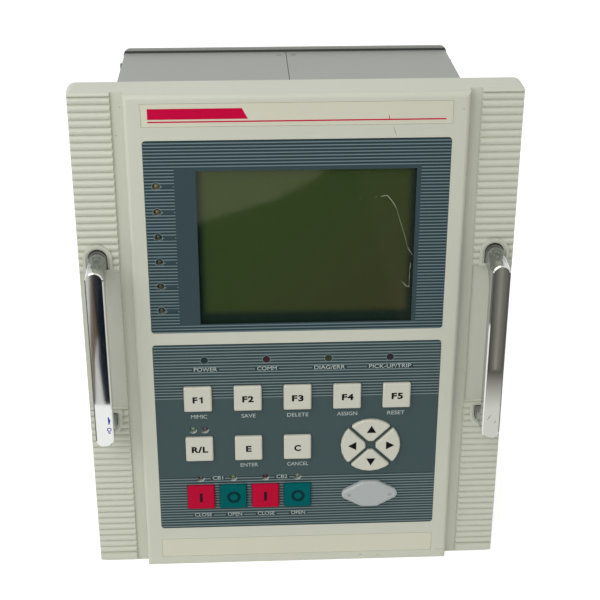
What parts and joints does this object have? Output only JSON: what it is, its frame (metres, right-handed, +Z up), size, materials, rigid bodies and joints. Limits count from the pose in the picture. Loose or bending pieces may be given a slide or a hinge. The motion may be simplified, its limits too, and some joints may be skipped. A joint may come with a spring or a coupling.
{
  "type": "protection relay",
  "caption": "Draw-out protection relay for a switchgear panel: ribbed moulded front with display, lamps and push keys, chrome bow handles and a folded steel case with rear terminals.",
  "frame": {"origin": "centre of the mounting studs, on the face of the panel", "axes": "+X to the right seen from the front, +Y into the panel along the studs, +Z up"},
  "size_m": [0.2516, 0.214, 0.305],
  "materials": {
    "case_paint": "grey stoved paint",
    "zinc_steel": "zinc plated",
    "black_steel": "blackened",
    "brass": "plain",
    "black_plastic": "moulded",
    "nylon": "moulded",
    "ivory_plastic": "fine moulded texture",
    "strip_film": "printed film",
    "display_film": "printed film",
    "keypad_film": "printed film",
    "window": "clear acrylic",
    "display_glass": "dark liquid crystal cell",
    "board": "solder resist",
    "lamp_amber": "unlit lamp",
    "lamp_green": "unlit lamp",
    "lamp_red": "unlit lamp",
    "silicone": "matt",
    "cover_plastic": "silvery grey",
    "chrome": "plated, worn",
    "gasket_rubber": "matt",
    "key_ivory": "printed key",
    "key_red": "printed key",
    "key_green": "printed key"
  },
  "bodies": {
    "case": {"case_left": "case_paint", "case_right": "case_paint", "mounting_flange": "zinc_steel", "mounting_studs": "zinc_steel", "rear_plate": "case_paint", "case_screws": "black_steel", "earth_stud": "brass", "terminal_blocks": "black_plastic", "terminal_screws": "zinc_steel", "case_sockets": "black_plastic", "guide_rails": "nylon"},
    "unit": {"bezel": "ivory_plastic", "top_strip": "strip_film", "bottom_strip": "strip_film", "display_overlay": "display_film", "keypad_overlay": "keypad_film", "window_pane": "window", "display_cell": "display_glass", "display_frame": "zinc_steel", "lamp_board": "board", "display_lamps": "lamp_amber", "keypad_board": "board", "key_mat": "silicone", "green_lamps": "lamp_green", "red_lamps": "lamp_red", "port_shell": "zinc_steel", "port_insert": "black_plastic", "jack_screws": "zinc_steel", "handle_left": "chrome", "handle_right": "chrome", "handle_screws": "zinc_steel", "front_plate": "zinc_steel", "gasket": "gasket_rubber", "bezel_screws": "zinc_steel", "chassis_left": "zinc_steel", "chassis_right": "zinc_steel", "backplane": "board", "unit_plugs": "black_plastic", "cpu_board": "board", "output_board": "board", "power_board": "board", "power_parts": "black_plastic", "board_link": "black_plastic"},
    "key_f1_cap": {"key_f1": "key_ivory"},
    "key_f2_cap": {"key_f2": "key_ivory"},
    "key_f3_cap": {"key_f3": "key_ivory"},
    "key_f4_cap": {"key_f4": "key_ivory"},
    "key_f5_cap": {"key_f5": "key_ivory"},
    "key_mode_cap": {"key_mode": "key_ivory"},
    "key_enter_cap": {"key_enter": "key_ivory"},
    "key_cancel_cap": {"key_cancel": "key_ivory"},
    "key_up_cap": {"key_up": "key_ivory"},
    "key_down_cap": {"key_down": "key_ivory"},
    "key_left_cap": {"key_left": "key_ivory"},
    "key_right_cap": {"key_right": "key_ivory"},
    "key_close_1_cap": {"key_close_1": "key_red"},
    "key_open_1_cap": {"key_open_1": "key_green"},
    "key_close_2_cap": {"key_close_2": "key_red"},
    "key_open_2_cap": {"key_open_2": "key_green"},
    "port_cover_cap": {"port_cover": "cover_plastic"}
  },
  "joints": [
    {"name": "unit_draw_out", "type": "slide", "parent": "case", "child": "unit", "axis": [0, -1, 0], "range_m": [0, 0.14]},
    {"name": "key_f1_press", "type": "slide", "parent": "unit", "child": "key_f1_cap", "axis": [0, 1, 0], "range_m": [0, 0.001], "stiffness_N_per_m": 400, "springref_m": -0.001},
    {"name": "key_f2_press", "type": "slide", "parent": "unit", "child": "key_f2_cap", "axis": [0, 1, 0], "range_m": [0, 0.001], "stiffness_N_per_m": 400, "springref_m": -0.001},
    {"name": "key_f3_press", "type": "slide", "parent": "unit", "child": "key_f3_cap", "axis": [0, 1, 0], "range_m": [0, 0.001], "stiffness_N_per_m": 400, "springref_m": -0.001},
    {"name": "key_f4_press", "type": "slide", "parent": "unit", "child": "key_f4_cap", "axis": [0, 1, 0], "range_m": [0, 0.001], "stiffness_N_per_m": 400, "springref_m": -0.001},
    {"name": "key_f5_press", "type": "slide", "parent": "unit", "child": "key_f5_cap", "axis": [0, 1, 0], "range_m": [0, 0.001], "stiffness_N_per_m": 400, "springref_m": -0.001},
    {"name": "key_mode_press", "type": "slide", "parent": "unit", "child": "key_mode_cap", "axis": [0, 1, 0], "range_m": [0, 0.001], "stiffness_N_per_m": 400, "springref_m": -0.001},
    {"name": "key_enter_press", "type": "slide", "parent": "unit", "child": "key_enter_cap", "axis": [0, 1, 0], "range_m": [0, 0.001], "stiffness_N_per_m": 400, "springref_m": -0.001},
    {"name": "key_cancel_press", "type": "slide", "parent": "unit", "child": "key_cancel_cap", "axis": [0, 1, 0], "range_m": [0, 0.001], "stiffness_N_per_m": 400, "springref_m": -0.001},
    {"name": "key_up_press", "type": "slide", "parent": "unit", "child": "key_up_cap", "axis": [0, 1, 0], "range_m": [0, 0.001], "stiffness_N_per_m": 400, "springref_m": -0.001},
    {"name": "key_down_press", "type": "slide", "parent": "unit", "child": "key_down_cap", "axis": [0, 1, 0], "range_m": [0, 0.001], "stiffness_N_per_m": 400, "springref_m": -0.001},
    {"name": "key_left_press", "type": "slide", "parent": "unit", "child": "key_left_cap", "axis": [0, 1, 0], "range_m": [0, 0.001], "stiffness_N_per_m": 400, "springref_m": -0.001},
    {"name": "key_right_press", "type": "slide", "parent": "unit", "child": "key_right_cap", "axis": [0, 1, 0], "range_m": [0, 0.001], "stiffness_N_per_m": 400, "springref_m": -0.001},
    {"name": "key_close_1_press", "type": "slide", "parent": "unit", "child": "key_close_1_cap", "axis": [0, 1, 0], "range_m": [0, 0.001], "stiffness_N_per_m": 400, "springref_m": -0.001},
    {"name": "key_open_1_press", "type": "slide", "parent": "unit", "child": "key_open_1_cap", "axis": [0, 1, 0], "range_m": [0, 0.001], "stiffness_N_per_m": 400, "springref_m": -0.001},
    {"name": "key_close_2_press", "type": "slide", "parent": "unit", "child": "key_close_2_cap", "axis": [0, 1, 0], "range_m": [0, 0.001], "stiffness_N_per_m": 400, "springref_m": -0.001},
    {"name": "key_open_2_press", "type": "slide", "parent": "unit", "child": "key_open_2_cap", "axis": [0, 1, 0], "range_m": [0, 0.001], "stiffness_N_per_m": 400, "springref_m": -0.001},
    {"name": "port_cover_pull", "type": "slide", "parent": "unit", "child": "port_cover_cap", "axis": [0, -1, 0], "range_m": [0, 0.012]}
  ]
}
